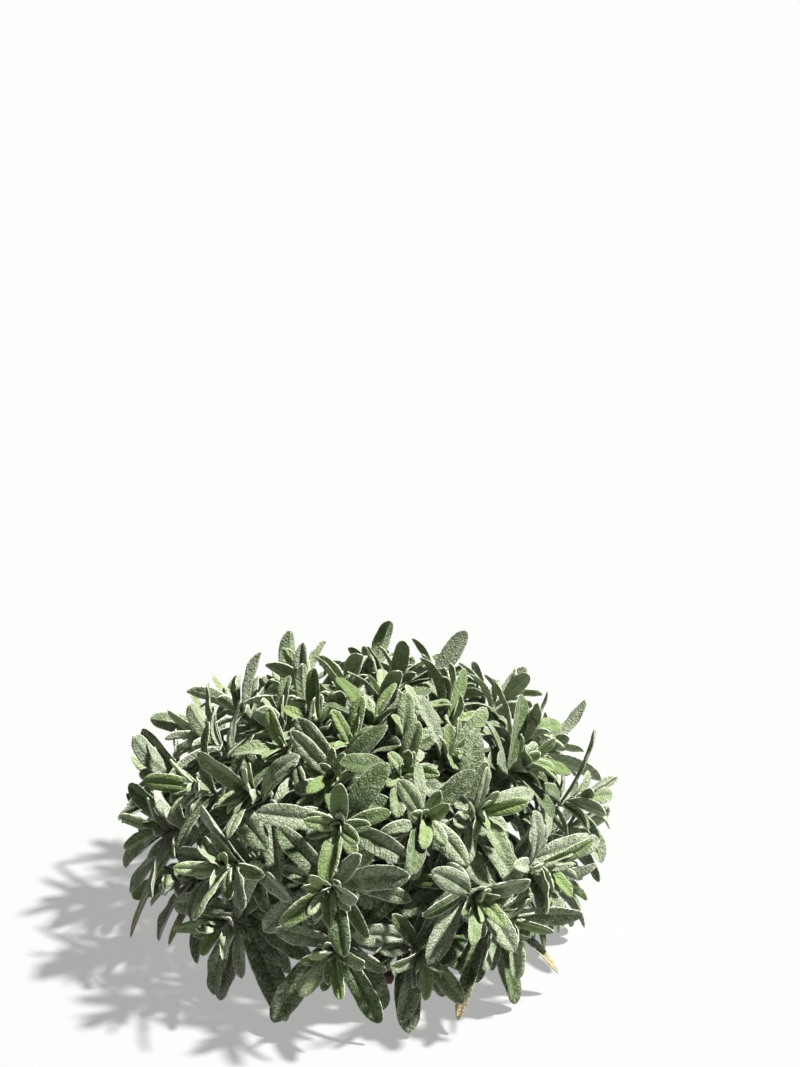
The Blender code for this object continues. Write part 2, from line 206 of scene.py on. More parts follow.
# Square stem and the hairs
STEM_STEPS = (0.0, 0.25, 0.5, 0.75)
STEM_TIP_SHARE = 0.62
STEM_CORNER_SHARE = 0.22
STEM_FELT = {"rim": 0.30, "tone": 0.55, "age": 0.35}
HAIR_LEAN = (0.75, 0.75, 3.1)
SHORTEST_HAIR_SHARE = 0.35

# Worn bark of the crown, with a raised joint at each spacing
CROWN_GRAIN_SIZE = 0.0017
CROWN_WEAR = 0.6
CROWN_WEAR_ROUNDS = 3
CROWN_FOOT_HEIGHT = 0.0009
CROWN_RIDGE_SCALE = 240.0
CROWN_RIDGE_HEIGHT = 0.00045
CROWN_JOINT_HEIGHT = 0.0004
CROWN_JOINT_SPACING = 0.013
CROWN_JOINT_SHARPNESS = 8


class LambsEarLeafSettings(bpy.types.PropertyGroup):
    """Sizes of the leaves' finish."""

    thickness: FloatProperty(
        name="Leaf Thickness",
        description="Thickness of a blade with its felt",
        default=0.0015,
        min=0.0006,
        unit="LENGTH",
    )
    groove: FloatProperty(
        name="Midrib Groove",
        description="Depth of the groove along a blade's upper face",
        default=0.0007,
        unit="LENGTH",
    )
    hair_length: FloatProperty(
        name="Hair Length",
        description="Length of the longest hairs at a blade's margin",
        default=0.0019,
        unit="LENGTH",
    )
    hair_width: FloatProperty(
        name="Hair Width",
        description="Width of a tuft of hairs at its root",
        default=0.00016,
        unit="LENGTH",
    )
    hair_density: FloatProperty(
        name="Hair Density",
        description="Tufts of hairs on each square metre of margin",
        default=430000.0,
        min=0.0,
    )
    stem_width: FloatProperty(
        name="Stem Width",
        description="Width of a square woolly stem across its flats",
        default=0.0042,
        unit="LENGTH",
    )


class LambsEarColourSettings(bpy.types.PropertyGroup):
    """Colours of the plant and of what it stands on."""

    leaf_green: FloatVectorProperty(
        name="Leaf Green",
        description="Green of a blade under its felt",
        default=(0.055, 0.095, 0.024),
        min=0.0,
        max=1.0,
        subtype="COLOR",
    )
    young_green: FloatVectorProperty(
        name="Young Green",
        description="Green of the youngest leaves",
        default=(0.200, 0.285, 0.100),
        min=0.0,
        max=1.0,
        subtype="COLOR",
    )
    felt_silver: FloatVectorProperty(
        name="Felt Silver",
        description="Colour of the dense felt",
        default=(0.510, 0.560, 0.425),
        min=0.0,
        max=1.0,
        subtype="COLOR",
    )
    # Pale margin colour: partly the hairs' own paleness, partly a painted sheen, the bright halo that light
    # makes on the edge hairs
    margin_hair_and_painted_sheen: FloatVectorProperty(
        name="Pale Margin",
        description="Colour of the hairs at a blade's margin",
        default=(0.800, 0.840, 0.690),
        min=0.0,
        max=1.0,
        subtype="COLOR",
    )
    dry_brown: FloatVectorProperty(
        name="Dry Tip",
        description="Colour of a withered leaf tip",
        default=(0.420, 0.350, 0.200),
        min=0.0,
        max=1.0,
        subtype="COLOR",
    )
    bark_brown: FloatVectorProperty(
        name="Crown Brown",
        description="Colour of the woody crown",
        default=(0.120, 0.085, 0.050),
        min=0.0,
        max=1.0,
        subtype="COLOR",
    )
    floor_grey: FloatVectorProperty(
        name="Floor",
        description="Colour of the floor",
        default=(0.195, 0.199, 0.207),
        min=0.0,
        max=1.0,
        subtype="COLOR",
    )


class LambsEarStageSettings(bpy.types.PropertyGroup):
    """Light of the stage."""

    key_strength: FloatProperty(
        name="Key Light",
        description="Strength of the light from the upper right",
        default=10.2,
        min=0.0,
    )
    key_height: FloatProperty(
        name="Key Height",
        description="Height of the key light above the horizon",
        default=math.radians(58.0),
        subtype="ANGLE",
    )
    key_turn: FloatProperty(
        name="Key Turn",
        description="Turn of the key light about the plant, from the right towards the back",
        default=math.radians(3.0),
        subtype="ANGLE",
    )
    key_spread: FloatProperty(
        name="Key Spread",
        description="Angle that the key light fills, which softens its shadows",
        default=math.radians(4.0),
        subtype="ANGLE",
    )
    fill_strength: FloatProperty(
        name="Fill Light",
        description="Strength of the light from all round",
        default=0.03,
        min=0.0,
    )
    floor_glow: FloatProperty(
        name="Floor Glow",
        description="Light that the floor gives of its own, which keeps its shadows pale",
        default=0.40,
        min=0.0,
    )
    horizon_height: FloatProperty(
        name="Horizon Height",
        description="Height up to which the surroundings are as pale as the floor",
        default=math.radians(2.0),
        subtype="ANGLE",
    )
    floor_size: FloatProperty(
        name="Floor Size",
        description="Length of the floor's side",
        default=30.0,
        unit="LENGTH",
    )


class LambsEarSettings(bpy.types.PropertyGroup):
    """Everything a user would change."""

    leaf: PointerProperty(type=LambsEarLeafSettings)
    colour: PointerProperty(type=LambsEarColourSettings)
    stage: PointerProperty(type=LambsEarStageSettings)
    hair_seed: IntProperty(
        name="Hair Seed",
        description="Seed of the hairs' random places",
        default=4,
    )


def direction_of(polar, turn):
    """Unit vector at an angle from straight up, turned about Z from +X, both in degrees."""
    p = math.radians(polar)
    a = math.radians(turn)
    return Vector((math.sin(p) * math.cos(a), math.sin(p) * math.sin(a), math.cos(p)))


def mound_point(polar, turn):
    """Where a ray from the mound's centre meets the rounded mound of stem tips."""
    ray = direction_of(polar, turn)
    across = math.hypot(ray.x, ray.y) / MOUND_HALF_WIDTH
    up = abs(ray.z) / MOUND_HALF_HEIGHT
    reach = (across**MOUND_SQUARENESS + up**MOUND_SQUARENESS) ** (-1.0 / MOUND_SQUARENESS)
    return Vector((0.0, 0.0, MOUND_CENTRE_HEIGHT)) + ray * reach


def creeper_points(index):
    """The axis of one creeping stem, which sways a little from side to side."""
    turn = 2.0 * math.pi * index / CREEPER_COUNT
    points = []
    for radius in (CREEPER_START, (CREEPER_START + CREEPER_REACH) * 0.5, CREEPER_REACH):
        sway = CREEPER_SWAY * math.sin(radius * CREEPER_WAVES + index * CREEPER_PHASE)
        x = radius * math.cos(turn) - sway * math.sin(turn)
        y = radius * math.sin(turn) + sway * math.cos(turn)
        points.append(Vector((x, y, CREEPER_AXIS_HEIGHT)))
    return points


def foot_place(index, radius):
    """Where a stem stands: on the flat top of a creeping stem, or on top of the knot near the centre."""
    if radius < CREEPER_START:
        return Vector((radius, 0.0, KNOT_LIFT + KNOT_HEIGHT))
    first, middle, last = creeper_points(index)
    run = (CREEPER_REACH - CREEPER_START) * 0.5
    along = (radius - CREEPER_START) / run
    place = first.lerp(middle, along) if along < 1.0 else middle.lerp(last, along - 1.0)
    place.z = CREEPER_AXIS_HEIGHT + CREEPER_RADIUS * math.cos(math.pi / CREEPER_SIDES)
    return place


def bezier(points, t):
    s = 1.0 - t
    if len(points) == 3:
        return points[0] * s * s + points[1] * 2.0 * s * t + points[2] * t * t
    a, b, c, d = points
    return a * s**3 + b * 3.0 * s * s * t + c * 3.0 * s * t * t + d * t**3


class Stem:
    """One leafy stem: its base on a creeping stem, its tip on the mound, and a curve between."""

    def __init__(self, base, tip, axis, pairs):
        self.axis = axis
        self.pairs = pairs
        reach = (tip - base).length
        self.curve = (
            base,
            base + (UP + axis * STEM_FOOT_LEAN).normalized() * reach * STEM_FOOT_PULL,
            tip - axis * reach * STEM_TIP_PULL,
            tip,
        )
        steps = [bezier(self.curve, i / LENGTH_STEPS) for i in range(LENGTH_STEPS + 1)]
        self.length = sum((high - low).length for low, high in zip(steps, steps[1:]))

    def at(self, back):
        """The point on the stem's straight runs, and its direction, at a distance back from the tip."""
        t = max(0.0, 1.0 - back / self.length)
        ahead = bezier(self.curve, min(1.0, t + DIRECTION_STEP))
        behind = bezier(self.curve, max(0.0, t - DIRECTION_STEP))
        place = t * (STEM_POINTS - 1)
        run = min(int(place), STEM_POINTS - 2)
        low, high = self.points()[run : run + 2]
        return low.lerp(high, place - run), (ahead - behind).normalized()

    def points(self):
        return [bezier(self.curve, i / (STEM_POINTS - 1)) for i in range(STEM_POINTS)]


def outline_share(t):
    """A blunt oblong outline, widest past its middle, that narrows into its stalk."""
    blade = t * (1.0 - t) ** BLADE_POWER / BLADE_PEAK
    return PETIOLE_SHARE + (1.0 - PETIOLE_SHARE) * blade


class Leaf:
    """A blade on a bent midrib. Its normal is the upper face's, which looks to the stem's tip."""

    def __init__(self, curve, normal, width, twist, fold, stations=STATIONS):
        self.stations = stations
        self.curve = curve
        self.width = width
        self.twist = twist
        self.fold = fold
        self.side = (curve[1] - curve[0]).cross(normal).normalized()

    def frame(self, t):
        """Midrib point, side and upper normal at a share of the leaf's length."""
        a, b, c = self.curve
        tangent = ((b - a) * (1.0 - t) + (c - b) * t).normalized()
        side = (self.side - tangent * self.side.dot(tangent)).normalized()
        normal = side.cross(tangent)
        turn = self.twist * t
        across = side * math.cos(turn) + normal * math.sin(turn)
        return bezier(self.curve, t), across, across.cross(tangent)

    def half_width(self, t):
        """The solid blade's half width, which narrows in a straight line to its tip."""
        return 0.5 * self.width * outline_share(t) * min(1.0, (1.0 - t) * TIP_BLUNTNESS)

    def surface(self, t, across, height):
        """A point at a share of the length, of the half width and of the half thickness."""
        middle, side, normal = self.frame(t)
        half = self.half_width(t)
        lift = self.fold * half * abs(across) + 0.5 * LEAF_THICKNESS * height
        return middle + side * (half * across) + normal * lift


def leaf_mesh(leaf, grow=0.0, start=0.0):
    """The plain blade that the room tests use, with grow more width and thickness all round."""
    bm = bmesh.new()
    rings = len(leaf.stations) - 1
    bmesh.ops.create_uvsphere(bm, u_segments=4, v_segments=rings, radius=1.0)
    place = {}
    for vertex in bm.verts:
        ring = round(math.acos(max(-1.0, min(1.0, vertex.co.z))) / math.pi * rings)
        spread = max(1e-9, math.sin(math.pi * ring / rings))
        place[vertex] = (ring, round(vertex.co.x / spread), round(vertex.co.y / spread))
        if ring in (0, rings):
            place[vertex] = (ring, 0, 0)
    for face in [f for f in bm.faces if len(f.verts) == 4]:
        low = min(place[v][0] for v in face.verts)
        ridge = next(v for v in face.verts if place[v][1] == 0 and place[v][0] == low)
        edge = next(v for v in face.verts if place[v][1] != 0 and place[v][0] > low)
        bmesh.utils.face_split(face, ridge, edge)
    for vertex, (ring, across, height) in place.items():
        t = start + (1.0 - start) * leaf.stations[ring]
        wider = 1.0 + grow / max(leaf.half_width(t), NARROWEST_HALF_WIDTH)
        thicker = 1.0 + 2.0 * grow / LEAF_THICKNESS
        vertex.co = leaf.surface(t, across * wider, height * thicker)
    bmesh.ops.recalc_face_normals(bm, faces=bm.faces)
    return bm


def solid_shape(bm):
    """What the room tests need: a tree of the mesh, its centre and its reach."""
    tree = BVHTree.FromBMesh(bm)
    points = [v.co.copy() for v in bm.verts]
    centre = sum(points, Vector()) / len(points)
    reach = max((p - centre).length for p in points)
    lowest = min(p.z for p in points)
    near_crown = min((p.z for p in points if math.hypot(p.x, p.y) < CREEPER_REACH), default=1.0)
    bm.free()
    return tree, centre, reach, lowest, near_crown


def shapes_cross(one, other):
    if (one[1] - other[1]).length > one[2] + other[2]:
        return False
    return bool(one[0].overlap(other[0]))


def stem_shape(stem):
    """A plain four sided tube round the stem's points, with the clearance added."""
    bm = bmesh.new()
    points = stem.points()
    rings = []
    for i, point in enumerate(points):
        ahead = points[min(i + 1, len(points) - 1)]
        behind = points[max(i - 1, 0)]
        turn = (ahead - behind).to_track_quat("Z", "Y")
        radius = STEM_RADIUS + STEM_CLEARANCE
        corners = ((radius, 0.0), (0.0, radius), (-radius, 0.0), (0.0, -radius))
        rings.append([bm.verts.new(point + turn @ Vector((x, y, 0.0))) for x, y in corners])
    for low, high in zip(rings, rings[1:]):
        for k in range(4):
            bm.faces.new((low[k], low[(k + 1) % 4], high[(k + 1) % 4], high[k]))
    bm.normal_update()
    return solid_shape(bm)


def plan_stems(rng):
    """All the leafy stems, ring by ring, each standing on the creeping stem nearest its turn."""
    stems = []
    last_polar = TIP_RINGS[-1][1]
    for count, polar, turn, pairs in TIP_RINGS:
        base_radius = LAST_BASE_RADIUS * polar / last_polar
        for k in range(count):
            nominal = 360.0 * k / count
            creeper = round(nominal / 360.0 * CREEPER_COUNT) % CREEPER_COUNT
            tip_turn = nominal + turn + rng.uniform(-TIP_TURN_SCATTER, TIP_TURN_SCATTER)
            tip_polar = polar + rng.uniform(-TIP_ANGLE_SCATTER, TIP_ANGLE_SCATTER)
            if count == 1:
                tip_polar = polar
            tip = mound_point(tip_polar, tip_turn)
            axis = direction_of(min(tip_polar, LOWEST_STEM_AXIS) * STEM_AXIS_SHARE, tip_turn)
            foot = foot_place(creeper, base_radius) + UP * SEAT_GAP
            lean = (Stem(foot, tip, axis, pairs).points()[1] - foot).normalized()
            foot += UP * STEM_RADIUS * math.hypot(lean.x, lean.y)
            stems.append(Stem(foot, tip, axis, pairs))
    return stems


def plan_leaf(stem, pair, spin, lean, size, form, pairs=LEAF_PAIRS):
    """The leaf of one pair at a turn about its stem, with its lean and size changed as asked."""
    back, length, width, angle = pairs[pair]
    root, axis = stem.at(back)
    sideways = axis.cross(UP)
    if sideways.length < UPRIGHT_LIMIT:
        sideways = Vector((1.0, 0.0, 0.0))
    sideways.normalize()
    outward = Matrix.Rotation(spin, 3, axis) @ sideways
    tilt = math.radians(angle + lean)
    start = axis * math.cos(tilt) + outward * math.sin(tilt)
    normal = (axis * math.sin(tilt) - outward * math.cos(tilt)).normalized()
    droop = max(0.0, -outward.z) * DROOP_OF_UNDERSIDE + DROOP_PER_PAIR * pair
    bend, twist, fold = form
    end = start * math.cos(bend) - normal * math.sin(bend) + Vector((0.0, 0.0, -droop))
    middle = root + start * length * size * 0.5
    tip = middle + end.normalized() * length * size * 0.5
    stations = YOUNG_STATIONS if pair < YOUNG_PAIRS else STATIONS
    return Leaf((root, middle, tip), normal, width * (0.5 + 0.5 * size), twist, fold, stations)


def plan_stray(stems, tip, reach, arch, width, fold):
    """A long low leaf that ends at a stated tip: it springs from the nearest stem within its reach."""
    choices = []
    for number, stem in enumerate(stems):
        for back in STRAY_ROOTS:
            root = stem.at(back * stem.length)[0]
            choices.append((abs((root - tip).length - reach), number, root))
    _, number, root = min(choices, key=lambda choice: choice[0])
    middle = (root + tip) * 0.5 + UP * arch
    normal = UP + Vector((tip.x, tip.y, 0.0)).normalized() * STRAY_OUTWARD_LEAN
    return number, Leaf((root, middle, tip), normal, width, 0.0, fold)


class Room:
    """The shapes already placed, which every new leaf must clear."""

    def __init__(self, stems):
        self.stem_shapes = [stem_shape(stem) for stem in stems]
        self.leaf_shapes = []
        self.leaves = [[] for _ in stems]

    def take(self, number, leaf):
        """Adds the leaf to its stem where there is room for it, and says whether there was."""
        whole = solid_shape(leaf_mesh(leaf, CLEARANCE))
        if whole[3] < GROUND_CLEARANCE or whole[4] < CROWN_CLEARANCE:
            return False
        if any(k != number and shapes_cross(whole, shape) for k, shape in enumerate(self.stem_shapes)):
            return False
        if any(k != number and shapes_cross(whole, shape) for k, shape, _ in self.leaf_shapes):
            return False
        blade = solid_shape(leaf_mesh(leaf, BLADE_CLEARANCE, BLADE_FROM))
        if any(k == number and shapes_cross(blade, sister) for k, _, sister in self.leaf_shapes):
            return False
        self.leaf_shapes.append((number, whole, blade))
        self.leaves[number].append(leaf)
        return True


def tag(leaf, age, dry=0.0):
    """Notes a leaf's age from 0, youngest, to 1, and how much of its tip has withered."""
    leaf.age = age
    leaf.dry = dry
    return leaf


def draw_form(ranges, rng):
    """A leaf's bend, twist and fold, each drawn from its range."""
    return tuple(rng.uniform(*limits) for limits in ranges)


def plan_leaves(stems, rng):
    """The leaves that the solids have, youngest pairs first, each moved until it is clear."""
    room = Room(stems)
    phases = [rng.uniform(0.0, math.pi) for _ in stems]
    for tip, reach, arch, width, fold in STRAY_LEAVES:
        number, leaf = plan_stray(stems, Vector(tip), reach, arch, width, fold)
        room.take(number, tag(leaf, 1.0, 1.0 if width < DRY_LEAF_WIDTH else WIDE_LEAF_DRYNESS))
    for pair in range(len(LEAF_PAIRS)):
        for number, stem in enumerate(stems):
            if pair >= stem.pairs:
                continue
            for half in (0, 1):
                spin = phases[number] + pair * math.pi / 2 + half * math.pi
                spin += math.radians(rng.uniform(-SPIN_SCATTER, SPIN_SCATTER))
                size = rng.uniform(*SIZE_RANGE)
                lean = rng.uniform(-LEAN_SCATTER, LEAN_SCATTER)
                form = draw_form(FORM_RANGES, rng)
                for size_share, turns, leans in WAYS:
                    ways = [(math.radians(turn), way_lean) for turn in turns for way_lean in leans]
                    tries = (
                        plan_leaf(stem, pair, spin + turn, lean + way_lean, size * size_share, form)
                        for turn, way_lean in ways
                    )
                    age = pair / (len(LEAF_PAIRS) - 1)
                    if any(room.take(number, tag(leaf, age)) for leaf in tries):
                        break
    return room, phases


def plan_inner_leaves(stems, room, phases, rng):
    """Smaller leaves between the ones that the solids have, further down each stem."""
    planned = [len(leaves) for leaves in room.leaves]
    for pair, (back, _, _, _) in enumerate(INNER_PAIRS):
        for number, stem in enumerate(stems):
            if back > stem.length * INNER_STEM_SHARE:
                continue
            for half in (0, 1):
                spin = phases[number] + (pair + 0.5) * math.pi / 2 + half * math.pi
                spin += math.radians(rng.uniform(-INNER_SPIN_SCATTER, INNER_SPIN_SCATTER))
                form = draw_form(INNER_FORM_RANGES, rng)
                for size, turns, leans in INNER_WAYS:
                    ways = [(math.radians(turn), lean) for turn in turns for lean in leans]
                    tries = (
                        plan_leaf(stem, pair, spin + turn, lean, size, form, INNER_PAIRS)
                        for turn, lean in ways
                    )
                    age = INNER_YOUNGEST + INNER_AGE_STEP * pair
                    if any(room.take(number, tag(leaf, age)) for leaf in tries):
                        break
    return planned


def plan_buds(stems, phases, rng):
    """The tiny folded leaves at each stem's tip."""
    buds = []
    for number, stem in enumerate(stems):
        leaves = []
        for pair in range(len(BUD_PAIRS)):
            for half in (0, 1):
                spin = phases[number] + (pair + 1) * math.pi / 2 + half * math.pi
                form = draw_form(BUD_FORM_RANGES, rng)
                lean = rng.uniform(-BUD_LEAN_SCATTER, BUD_LEAN_SCATTER)
                leaf = plan_leaf(stem, pair, spin, lean, rng.uniform(*BUD_SIZE_RANGE), form, BUD_PAIRS)
                leaves.append(tag(leaf, 0.0))
        buds.append(leaves)
    return buds


class MeshParts:
    """Vertices, faces and named values of one piece, gathered leaf by leaf."""

    def __init__(self):
        self.points = []
        self.faces = []
        self.edges = []
        self.values = {name: [] for name in ("rim", "tone", "age", "dry", "under", "place")}

    def add_point(self, point, **values):
        self.points.append(point)
        for name, stored in self.values.items():
            stored.append(values.get(name, (0.0, 0.0, 0.0) if name == "place" else 0.0))
        return len(self.points) - 1

    def to_mesh(self, name):
        mesh = bpy.data.meshes.new(name)
        mesh.from_pydata(self.points, self.edges, self.faces)
        for value, stored in self.values.items():
            kind = "FLOAT_VECTOR" if value == "place" else "FLOAT"
            layer = mesh.attributes.new(value, kind, "POINT")
            field = "vector" if value == "place" else "value"
            layer.data.foreach_set(field, np.array(stored, np.float32).ravel())
        path = mesh.attributes.new("path", "BOOLEAN", "EDGE")
        loose = np.zeros(len(mesh.edges), bool)
        loose[: len(self.edges)] = True
        path.data.foreach_set("value", loose)
        mesh.polygons.foreach_set("use_smooth", np.ones(len(mesh.polygons), bool))
        mesh.update()
        return mesh


# Places round a blade's section: share of the half width, and 1 on the upper face, -1 on the lower
FINE_SECTION = (
    (-1.0, 0.0), (-0.93, 1.0), (-0.72, 1.0), (-0.44, 1.0), (-0.15, 1.0), (0.0, 1.0),
    (0.15, 1.0), (0.44, 1.0), (0.72, 1.0), (0.93, 1.0), (1.0, 0.0), (0.86, -1.0),
    (0.48, -1.0), (0.14, -1.0), (0.0, -1.0), (-0.14, -1.0), (-0.48, -1.0), (-0.86, -1.0),
)
PLAIN_SECTION = (
    (-1.0, 0.0), (-0.80, 1.0), (-0.25, 1.0), (0.0, 1.0), (0.25, 1.0), (0.80, 1.0),
    (1.0, 0.0), (0.60, -1.0), (0.0, -1.0), (-0.60, -1.0),
)
MAIN_RINGS = 18
INNER_RINGS = 12
BUD_RINGS = 9
BUD_THICKNESS = 0.0010
BUD_GROOVE = 0.0003
RINGS_CROWD_TO_TIP = 1.35

# Form of a blade's faces, as shares of its length or of its half width
ROUND_TIP_FROM = 0.86
SLIMNESS = 0.88
THICKEST_SHARE = 0.9
FOLD_SOFTNESS = 0.02
FOLD_AT_MIDRIB = 0.14
CUSHION = 0.10
WAVE_RANGE = (0.02, 0.13)
WAVE_COUNT_RANGE = (2.0, 3.6)
WAVE_LAG = 1.5
CURL_RANGE = (-0.10, 0.26)
GROOVE_SPREAD = 0.13
GROOVE_FADE = 4.0
GROOVE_FULL_FROM = 0.004
RIB_BELOW = 0.9
MARGIN_WOBBLES = (
    (0.018, 23.0, 3.0),
    (0.012, 61.0, 1.0),
)
RIM_SHARPNESS = 26
# The pale tip rim is partly hair colour and partly painted sheen
TIP_RIM = 0.40
TIP_RIM_FROM = 0.96
DRY_FROM = 0.55
PATTERN_SHIFT = 50.0
MILLIMETRES = 1000.0


def blade_shares(count):
    """Shares of the length, closer together towards the rounded tip."""
    return [1.0 - (1.0 - i / count) ** RINGS_CROWD_TO_TIP for i in range(count + 1)]


def smooth_half_width(leaf, t):
    """The blade's half width with a rounded tip in place of the solid's flat ends."""
    over = max(0.0, (t - ROUND_TIP_FROM) / (1.0 - ROUND_TIP_FROM))
    return 0.5 * SLIMNESS * leaf.width * outline_share(t) * math.sqrt(max(0.0, 1.0 - over**3))


class BladeForm:
    """How one blade's faces rise and how its margin runs: cushioned, grooved, waved and rolled."""

    def __init__(self, leaf, thickness, groove, rng):
        self.leaf = leaf
        self.thickness = thickness
        self.groove = groove
        self.tone = rng.random()
        self.phase = rng.uniform(0.0, 2.0 * math.pi)
        self.wave = rng.uniform(*WAVE_RANGE)
        self.waves = rng.uniform(*WAVE_COUNT_RANGE)
        self.curl = rng.uniform(*CURL_RANGE)
        root, middle, tip = leaf.curve
        self.length = (middle - root).length + (tip - middle).length

    def lift(self, t, half, a, face):
        """Height over the midrib's plane at a share of the half width, on one face."""
        edge = abs(a)
        fold = self.leaf.fold * half * (math.sqrt(edge * edge + FOLD_SOFTNESS) - FOLD_AT_MIDRIB)
        cushion = CUSHION * half * math.sin(math.pi * min(1.0, edge))
        turn = 2.0 * math.pi * self.waves * t + self.phase + (WAVE_LAG if a > 0 else 0.0)
        ripple = self.wave * half * edge**3 * math.sin(turn)
        rolled = self.curl * half * edge**4
        thick = min(self.thickness, half * THICKEST_SHARE)
        body = 0.5 * thick * math.sqrt(max(0.0, 1.0 - edge**4)) * face
        depth = {1.0: -self.groove, 0.0: 0.0, -1.0: -self.groove * RIB_BELOW}[face]
        rib = math.exp(-((a / GROOVE_SPREAD) ** 2)) * min(1.0, (1.0 - t) * GROOVE_FADE) * depth
        return fold + cushion + ripple + rolled + body + rib * min(1.0, half / GROOVE_FULL_FROM)

    def wobble(self, t, edge):
        """The half width there as a share of the plain outline's."""
        width = 1.0
        for size, pace, lag in MARGIN_WOBBLES:
            width += size * edge * math.sin(pace * t + self.phase * lag)
        return width

    def values(self, t, a, face):
        """What the felt's material reads at a point."""
        tip_rim = TIP_RIM * max(0.0, t - TIP_RIM_FROM) / (1.0 - TIP_RIM_FROM)
        return {
            "rim": max(abs(a) ** RIM_SHARPNESS, tip_rim),
            "tone": self.tone,
            "age": self.leaf.age,
            "dry": self.leaf.dry * max(0.0, (t - DRY_FROM) / (1.0 - DRY_FROM)),
            "under": 0.5 - 0.5 * face,
            "place": (a, t * self.length * MILLIMETRES, self.tone * PATTERN_SHIFT),
        }


def add_blade(parts, leaf, count, section, form):
    """A closed felted blade, ring by ring along its midrib."""
    rings = []
    for t in blade_shares(count)[:-1]:
        middle, side, normal = leaf.frame(t)
        half = smooth_half_width(leaf, t)
        ring = []
        for a, face in section:
            across = side * (half * a * form.wobble(t, abs(a)))
            point = middle + across + normal * form.lift(t, half, a, face)
            ring.append(parts.add_point(point, **form.values(t, a, face)))
        rings.append(ring)
    size = len(section)
    for low, high in zip(rings, rings[1:]):
        for k in range(size):
            parts.faces.append((low[k], low[(k + 1) % size], high[(k + 1) % size], high[k]))
    at_tip = form.values(1.0, 0.0, 1.0)
    at_tip["rim"] = 1.0
    tip = parts.add_point(leaf.curve[2], **at_tip)
    root = parts.add_point(leaf.curve[0], **form.values(0.0, 0.0, 1.0))
    for k in range(size):
        parts.faces.append((rings[-1][k], rings[-1][(k + 1) % size], tip))
        parts.faces.append((rings[0][(k + 1) % size], rings[0][k], root))


def add_path(parts, stem):
    """The stem's line as loose edges, which the node tree sweeps into a square stem."""
    low = stem.points()
    soft = []
    for first, last in zip(low, low[1:]):
        soft += [first.lerp(last, share) for share in STEM_STEPS]
    soft.append(low[-1])
    rounded = [soft[0]]
    for before, here, after in zip(soft, soft[1:], soft[2:]):
        rounded.append(before * 0.25 + here * 0.5 + after * 0.25)
    rounded.append(soft[-1])
    indices = [parts.add_point(point) for point in rounded]
    parts.edges += list(zip(indices, indices[1:]))


class Nodes:
    """A short way to add nodes to a tree and link them."""

    def __init__(self, tree):
        self.tree = tree

    def add(self, kind, inputs=(), **settings):
        node = self.tree.nodes.new(kind)
        for name, value in settings.items():
            setattr(node, name, value)
        for key, value in dict(inputs).items():
            socket = node.inputs[key]
            if isinstance(value, bpy.types.NodeSocket):
                self.tree.links.new(value, socket)
            else:
                socket.default_value = value
        return node

    def math(self, operation, first, second=0.0, third=0.0, clamp=False):
        inputs = {0: first, 1: second, 2: third}
        return self.add("ShaderNodeMath", inputs, operation=operation, use_clamp=clamp).outputs[0]

    def between(self, value, low, high, start=0.0, end=1.0):
        """A value mapped smoothly from one range to another."""
        inputs = {"Value": value, "From Min": low, "From Max": high, "To Min": start, "To Max": end}
        return self.add("ShaderNodeMapRange", inputs, interpolation_type="SMOOTHSTEP").outputs["Result"]

    def mix(self, factor, first, second):
        inputs = {0: factor, 6: first, 7: second}
        return self.add("ShaderNodeMix", inputs, data_type="RGBA").outputs[2]

    def noise(self, coords, scale, detail, roughness):
        inputs = {"Vector": coords, "Scale": scale, "Detail": detail, "Roughness": roughness}
        return self.add("ShaderNodeTexNoise", inputs).outputs["Fac"]

    def attribute(self, name, output="Fac"):
        return self.add("ShaderNodeAttribute", attribute_name=name).outputs[output]


def four(colour):
    return (*colour, 1.0)


def new_material(name, finish):
    """A material with the shader's own sockets set, its nodes and its shader."""
    material = bpy.data.materials.new(name)
    material.use_nodes = True
    shader = material.node_tree.nodes["Principled BSDF"]
    for socket, value in finish.items():
        shader.inputs[socket].default_value = value
    return material, Nodes(material.node_tree), shader


# Patterns in the felt, and what each adds to how much of the green it covers
SPECK_SCALE = 760.0
PATCH_SCALE = 95.0
PEBBLE_SCALE = 430.0
VEIN_SLANT = 7.0
VEIN_PACE = -1.05
VEIN_BEND = 9.0
SPECK_MIDDLE = 0.46
PATCH_COVER = 0.9
TONE_COVER = 0.62
PEBBLE_COVER = 0.30
UNDERSIDE_COVER = 0.34
VEIN_COVER = -0.10
MIDRIB_COVER = -0.12
PATCH_BALANCE = -0.40
TONE_BALANCE = -0.22
VEIN_RELIEF = -0.40
PEBBLE_RELIEF = 0.55

# Bark's patterns, and the depth of the finest relief on leaf and bark
BARK_GRAIN_SCALE = 340.0
BARK_PATCH_SCALE = 60.0
RELIEF_HEIGHT = 0.0012

# How each surface takes the light
FELT_FINISH = {
    "Roughness": 0.82,
    "Specular IOR Level": 0.22,
    "Sheen Weight": 0.30,
    "Sheen Roughness": 0.45,
    "Sheen Tint": (0.90, 0.95, 0.85, 1.0),
    "Subsurface Weight": 0.10,
    "Subsurface Radius": (0.6, 1.0, 0.3),
    "Subsurface Scale": 0.0022,
}
BARK_FINISH = {"Roughness": 0.92, "Specular IOR Level": 0.18}


